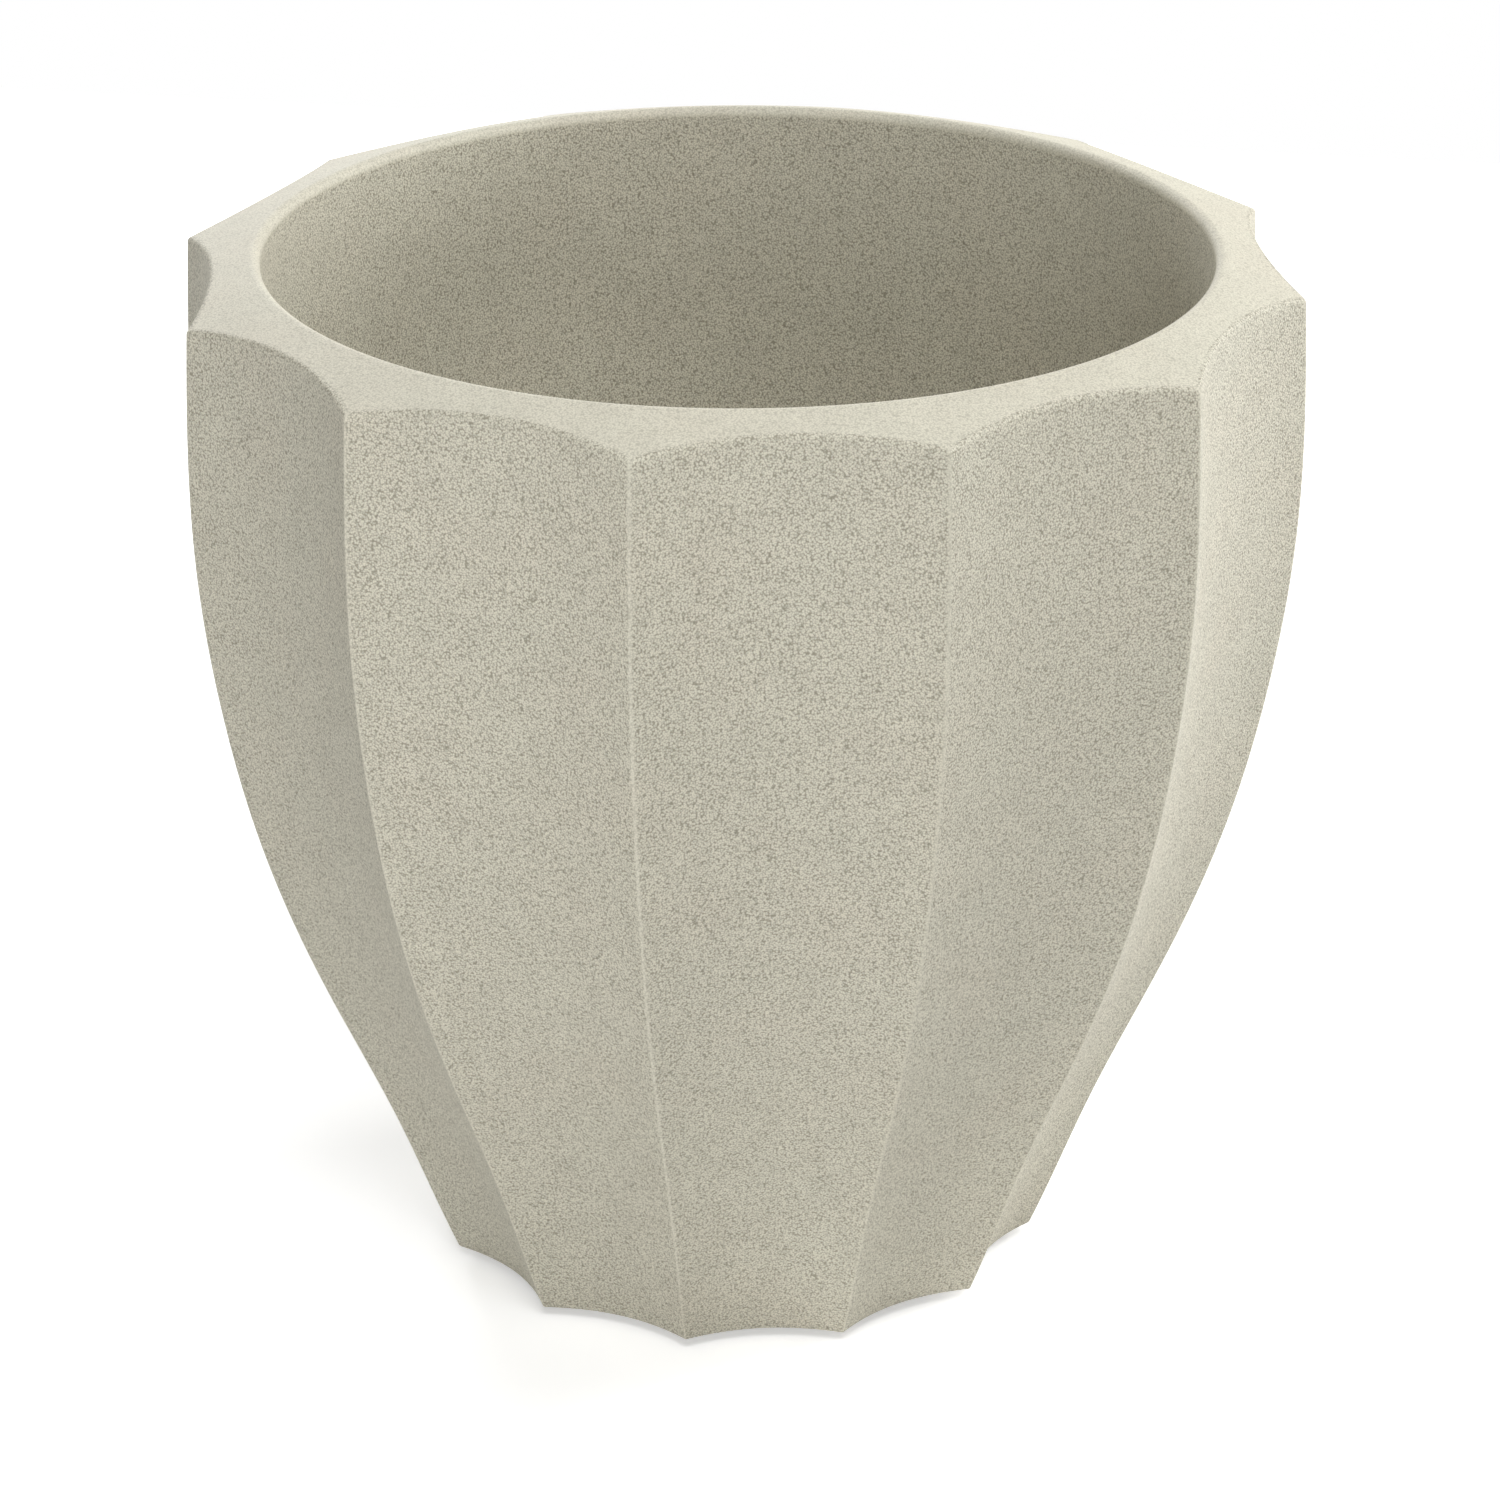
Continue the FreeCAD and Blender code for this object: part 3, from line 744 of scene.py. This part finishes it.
        # The section follows the ridge's arc near a ridge, and the flute's arc elsewhere.
        flute_radius = arc_radius(
            tree, from_middle, given["Flute Reach"], given["Flute Round"], ArcSide.NEAR)
        ridge_radius = arc_radius(
            tree, from_ridge, given["Ridge Reach"], given["Ridge Round"], ArcSide.FAR)
        on_flute = add(tree, "ShaderNodeMath", {
            0: from_ridge, 1: given["Ridge Half Angle"]}, operation="GREATER_THAN").outputs[0]
        radius = add(tree, "ShaderNodeMix", {
            "Factor": on_flute, NUMBER_A: ridge_radius, NUMBER_B: flute_radius}).outputs[NUMBER]
        inset = add(tree, "ShaderNodeMath", {
            0: given["Ridge Radius"], 1: radius}, operation="SUBTRACT").outputs[0]
        depth = add(tree, "ShaderNodeMath", {
            0: inset, 1: given["Flute Depth"]}, operation="DIVIDE").outputs[0]
        # The outlines of ridge and flute, mixed by depth and turned to the column's bearing.
        place = add(tree, "GeometryNodeInputPosition").outputs[0]
        valley = add(tree, "GeometryNodeInputNamedAttribute", {
            "Name": FLUTE_OUTLINE}, data_type="FLOAT_VECTOR").outputs[0]
        finish = add(tree, "GeometryNodeInputNamedAttribute", {
            "Name": SMOOTHNESS_AND_HIGHLIGHT}, data_type="FLOAT").outputs[0]
        ridge_point, flute_point, smooth = (
            add(tree, "GeometryNodeSampleIndex", {
                0: outlines, "Value": value, "Index": row}, data_type=kind).outputs[0]
            for value, kind in (
                (place, "FLOAT_VECTOR"), (valley, "FLOAT_VECTOR"), (finish, "FLOAT")))
        point = add(tree, "ShaderNodeMix", {
            "Factor": depth, VECTOR_A: ridge_point, VECTOR_B: flute_point},
            data_type="VECTOR", clamp_factor=False).outputs[VECTOR]
        bearing = add(tree, "ShaderNodeMath", {
            0: hand, 1: from_middle}, operation="MULTIPLY").outputs[0]
        middle = add(tree, "ShaderNodeMath", {
            0: number, 1: 2.0, 2: 1.0}, operation="MULTIPLY_ADD").outputs[0]
        angle = add(tree, "ShaderNodeMath", {
            0: middle, 1: half_pitch, 2: bearing}, operation="MULTIPLY_ADD").outputs[0]
        turned = add(tree, "ShaderNodeVectorRotate", {
            "Vector": point, "Angle": angle}, rotation_type="Z_AXIS").outputs[0]
        placed = add(tree, "GeometryNodeSetPosition", {0: grid, "Position": turned}).outputs[0]
        # Each ridge's crest is marked smooth where there are flutes, so its thinner grain paints a
        # pale highlight line along the ridge.
        span = add(tree, "ShaderNodeVectorMath", {
            0: ridge_point, 1: flute_point}, operation="DISTANCE").outputs["Value"]
        fluted = add(tree, "ShaderNodeMath", {
            0: span, 1: given["Ridge Round"]}, operation="GREATER_THAN").outputs[0]
        crest = add(tree, "ShaderNodeMath", {
            0: fluted, 1: on_flute}, operation="SUBTRACT").outputs[0]
        finished = add(tree, "ShaderNodeMath", {
            0: smooth, 1: crest}, operation="MAXIMUM").outputs[0]
        return add(tree, "GeometryNodeStoreNamedAttribute", {
            0: placed, "Name": SMOOTHNESS_AND_HIGHLIGHT, "Value": finished},
            data_type="FLOAT", domain="POINT").outputs[0]

    def recessed(
        self, tree: bpy.types.NodeTree, given: dict[str, bpy.types.NodeSocket],
        shell: bpy.types.NodeSocket
    ) -> bpy.types.NodeSocket:
        """Cut the pads' recesses with round cutters, half of each below the foot.

        Args:
            tree: Tree that takes the nodes.
            given: Its inputs by name.
            shell: The closed shell.

        Returns:
            The shell with its recesses.
        """
        ring = add(tree, "GeometryNodeMeshCircle", {
            "Vertices": given["Pad Count"], "Radius": given["Pad Pitch Radius"]}).outputs[0]
        foot = add(tree, "ShaderNodeCombineXYZ", {"Z": given["Foot Height"]}).outputs[0]
        turn = add(tree, "ShaderNodeCombineXYZ", {"Z": given["First Pad Angle"]}).outputs[0]
        places = add(tree, "GeometryNodeTransform", {
            0: ring, "Translation": foot, "Rotation": turn}).outputs[0]
        length = add(tree, "ShaderNodeMath", {
            0: given["Recess Depth"], 1: 2.0}, operation="MULTIPLY").outputs[0]
        cutter = add(tree, "GeometryNodeMeshCylinder", {
            "Vertices": self.recess_spans, "Radius": given["Recess Radius"],
            "Depth": length}).outputs[0]
        cutters = add(tree, "GeometryNodeInstanceOnPoints", {
            0: places, "Instance": cutter}).outputs[0]
        cut = add(tree, "GeometryNodeMeshBoolean", {
            "Mesh 1": shell, "Mesh 2": cutters}, operation="DIFFERENCE", solver="EXACT").outputs[0]
        return add(tree, "GeometryNodeMergeByDistance", {
            0: cut, "Distance": self.merge_distance}).outputs[0]

    def tree(self) -> bpy.types.NodeTree:
        """Node tree that makes the shell from its outlines.

        Returns:
            The tree.
        """
        tree = bpy.data.node_groups.new("fluted_shell", "GeometryNodeTree")
        given = self.named_inputs(tree)
        closed = add(tree, "GeometryNodeMergeByDistance", {
            0: self.swept(tree, given), "Distance": self.merge_distance}).outputs[0]
        shell = self.recessed(tree, given, closed)
        shaded = add(tree, "GeometryNodeSetShadeSmooth", {0: shell}).outputs[0]
        fold = add(tree, "GeometryNodeInputMeshEdgeAngle").outputs[0]
        sharp = add(tree, "ShaderNodeMath", {
            0: fold, 1: self.crease_angle}, operation="GREATER_THAN").outputs[0]
        creased = add(tree, "GeometryNodeSetShadeSmooth", {
            0: shaded, "Selection": sharp, "Shade Smooth": False}, domain="EDGE").outputs[0]
        real = add(tree, "GeometryNodeRealizeInstances", {0: creased}).outputs[0]
        dressed = add(tree, "GeometryNodeSetMaterial", {
            0: real, "Material": given["Stone"]}).outputs[0]
        add(tree, "NodeGroupOutput", {0: dressed})
        return tree

    def build(self) -> bpy.types.Object:
        """Build the shell and set it in place of its plain solid.

        Returns:
            The finished piece.
        """
        sizes = {
            **self.counts(), **self.scallop_sizes(), **self.recess_sizes(), "Stone": self.stone}
        shell = node_piece("cast_pot", self.outlines(), self.tree(), sizes)
        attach(shell, "pot")
        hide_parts("pot_shell")
        return shell


@dataclass
class Fittings:
    """Drain sleeve, screen and plug and the foot pads, whose solids have their right shapes."""

    plastic: bpy.types.Material
    rubber: bpy.types.Material
    plastic_nodes: tuple[str, ...] = ("drain_sleeve", "drain_screen")
    rubber_nodes: tuple[str, ...] = (
        "drain_plug", "foot_pad_1", "foot_pad_2", "foot_pad_3", "foot_pad_4")

    def dress(self) -> list[bpy.types.Object]:
        """Give each fitting its finish.

        Returns:
            The dressed objects.
        """
        dressed = []
        finishes = ((self.plastic_nodes, self.plastic), (self.rubber_nodes, self.rubber))
        for names, finish in finishes:
            for name in names:
                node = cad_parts[name]
                node.data.materials.clear()
                node.data.materials.append(finish)
                dressed.append(node)
        return dressed


@dataclass(frozen=True)
class Lamp:
    """A soft square lamp that looks at the pot."""

    name: str
    azimuth: float
    elevation: float
    power: float
    side: float = 0.9
    distance: float = 2.2
    target: tuple[float, float, float] = (0.0, 0.0, 0.22)

    def build(self) -> bpy.types.Object:
        """Hang the lamp, its azimuth counted from the front towards the right in degrees.

        Returns:
            The lamp.
        """
        light = bpy.data.lights.new(self.name, "AREA")
        light.shape = "SQUARE"
        light.size = self.side
        light.energy = self.power
        lamp = bpy.data.objects.new(self.name, light)
        turn, rise = math.radians(self.azimuth), math.radians(self.elevation)
        level = math.cos(rise)
        away = Vector((math.sin(turn) * level, -math.cos(turn) * level, math.sin(rise)))
        lamp.location = Vector(self.target) + away * self.distance
        lamp.rotation_euler = away.to_track_quat("Z", "Y").to_euler()
        bpy.context.scene.collection.objects.link(lamp)
        return lamp


def shown(tree: bpy.types.NodeTree) -> bpy.types.NodeSocket:
    """Tell in a tree which rays show a surface to the eye, straight, mirrored or through glass.

    Args:
        tree: Tree that takes the nodes.

    Returns:
        1 for such a ray, and 0 for one that only carries light.
    """
    path = add(tree, "ShaderNodeLightPath").outputs
    seen = path["Is Camera Ray"]
    for kind in ("Is Glossy Ray", "Is Transmission Ray"):
        seen = add(tree, "ShaderNodeMath", {0: seen, 1: path[kind]}, operation="MAXIMUM").outputs[0]
    return seen


@dataclass
class Studio:
    """Pale floor, white surroundings, soft lamps and the camera of the picture."""

    lamps: tuple[Lamp, ...] = (
        Lamp("key", 97.0, 51.0, 20.0),
        Lamp("front", 6.0, 52.0, 22.0),
        Lamp("fill", -13.0, 6.0, 14.5),
        Lamp("back_right", 124.0, 14.0, 32.0),
        Lamp("back_left", -150.0, 24.0, 26.0),
    )
    sky: float = 0.03
    floor_colour: str = "#EDEDED"
    floor_half: float = 1.4
    # The floor's glow to the eye near the pot, and where it starts to rise and is full.
    floor_glow: float = 0.45
    glow_near: float = 0.7
    glow_far: float = 1.2
    camera_bearing: float = 10.063
    camera_distance: float = 1.8852
    camera_height: float = 0.9975
    camera_pitch: float = 23.177
    camera_yaw: float = 0.13
    lens: float = 133.67
    sensor: float = 36.0

    def build_floor(self) -> bpy.types.Object:
        """Lay a floor that keeps the pot's shadow and is white to the eye elsewhere.

        Returns:
            The floor.
        """
        half = self.floor_half
        corners = [(-half, -half, 0), (half, -half, 0), (half, half, 0), (-half, half, 0)]
        mesh = bpy.data.meshes.new("floor")
        mesh.from_pydata(corners, [], [(0, 1, 2, 3)])
        floor = bpy.data.objects.new("floor", mesh)
        bpy.context.scene.collection.objects.link(floor)
        paper, tree = blank_material("paper_floor")
        place = add(tree, "ShaderNodeNewGeometry").outputs["Position"]
        away = add(tree, "ShaderNodeVectorMath", {0: place}, operation="LENGTH").outputs["Value"]
        white = add(tree, "ShaderNodeMapRange", {
            "Value": away, "From Min": self.glow_near, "From Max": self.glow_far,
            "To Min": self.floor_glow, "To Max": 1.0}).outputs[0]
        glow = add(tree, "ShaderNodeMath", {
            0: shown(tree), 1: white}, operation="MULTIPLY").outputs[0]
        shader = add(tree, "ShaderNodeBsdfPrincipled", {
            "Base Color": linear(self.floor_colour), "Roughness": 0.9, "Specular IOR Level": 0.0,
            "Emission Color": WHITE, "Emission Strength": glow}).outputs[0]
        add(tree, "ShaderNodeOutputMaterial", {"Surface": shader})
        mesh.materials.append(paper)
        return floor

    def build_sky(self) -> None:
        """Surround the scene with white to the eye and an even soft light on the pot."""
        world = bpy.data.worlds.new("surroundings")
        world.use_nodes = True
        tree = world.node_tree
        tree.nodes.clear()
        strength = add(tree, "ShaderNodeMapRange", {
            "Value": shown(tree), "To Min": self.sky, "To Max": 1.0}).outputs[0]
        light = add(tree, "ShaderNodeBackground", {
            "Color": WHITE, "Strength": strength}).outputs[0]
        add(tree, "ShaderNodeOutputWorld", {"Surface": light})
        bpy.context.scene.world = world

    def build_camera(self) -> bpy.types.Object:
        """Set the camera where the picture was taken from.

        Returns:
            The camera.
        """
        eye = bpy.data.cameras.new("camera")
        eye.lens = self.lens
        eye.sensor_width = self.sensor
        camera = bpy.data.objects.new("camera", eye)
        bearing = math.radians(self.camera_bearing)
        away = Vector((math.sin(bearing), -math.cos(bearing), 0.0)) * self.camera_distance
        camera.location = away + Vector((0.0, 0.0, self.camera_height))
        heading = math.radians(self.camera_bearing - self.camera_yaw)
        camera.rotation_euler = (math.radians(90.0 - self.camera_pitch), 0.0, heading)
        bpy.context.scene.collection.objects.link(camera)
        bpy.context.scene.camera = camera
        return camera

    def build(self) -> None:
        """Build the whole studio."""
        self.build_floor()
        self.build_sky()
        self.build_camera()
        for lamp in self.lamps:
            lamp.build()
        bpy.context.scene.view_settings.view_transform = "Standard"


def report(piece: bpy.types.Object) -> None:
    """Log a finished piece and its size in faces."""
    LOG.info("%s: %d faces", piece.name, len(piece.data.polygons))


def main() -> None:
    """Build the pot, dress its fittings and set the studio."""
    logging.basicConfig(level=logging.INFO, format="%(name)s %(message)s")
    report(PotShell(CastStone().material()).build())
    for fitting in Fittings(MouldedPlastic().material(), MouldedRubber().material()).dress():
        report(fitting)
    Studio().build()


if __name__ == "__main__":
    main()
